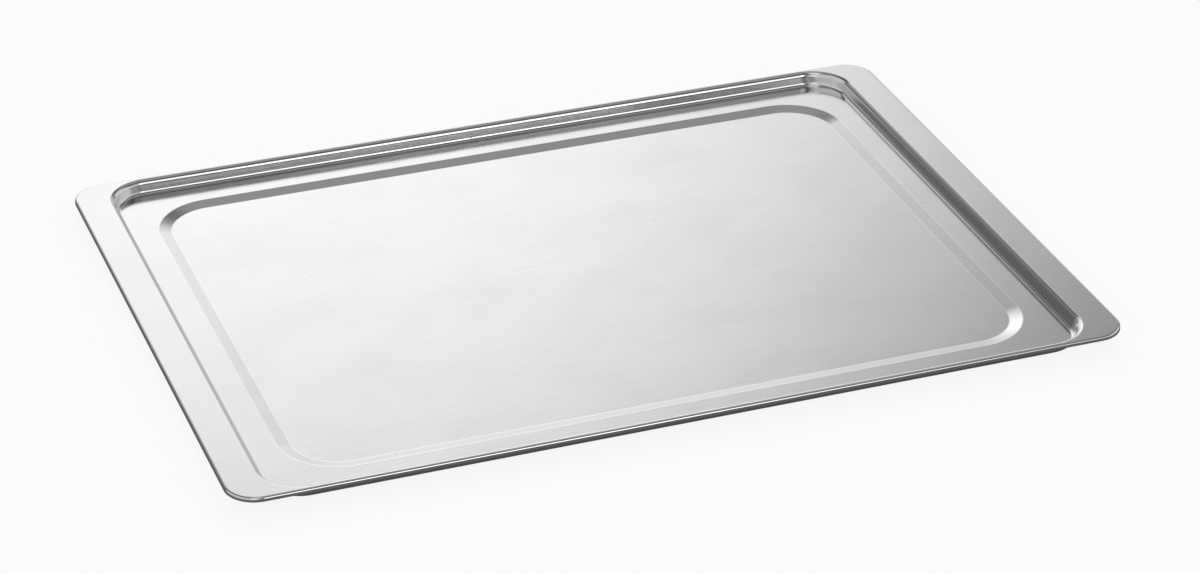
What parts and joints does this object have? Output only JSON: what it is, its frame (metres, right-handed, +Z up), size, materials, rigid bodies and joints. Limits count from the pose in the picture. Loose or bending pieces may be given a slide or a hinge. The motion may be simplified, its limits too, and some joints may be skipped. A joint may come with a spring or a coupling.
{
  "type": "cookie sheet",
  "caption": "Shallow rectangular stainless steel baking tray with rounded corners, flat end rims that slide on oven runners and a slightly sunken floor.",
  "frame": {"origin": "middle of the underside: the centre of the bounding box seen from above, on the plane that the tray rests on", "axes": "+X along the tray's long side, towards one flat end rim; +Y across it; +Z up, out of the pan's open side"},
  "size_m": [0.438, 0.3174, 0.0087],
  "materials": {
    "steel": "satin gloss"
  },
  "bodies": {
    "root": {"tray": "steel"}
  },
  "joints": []
}
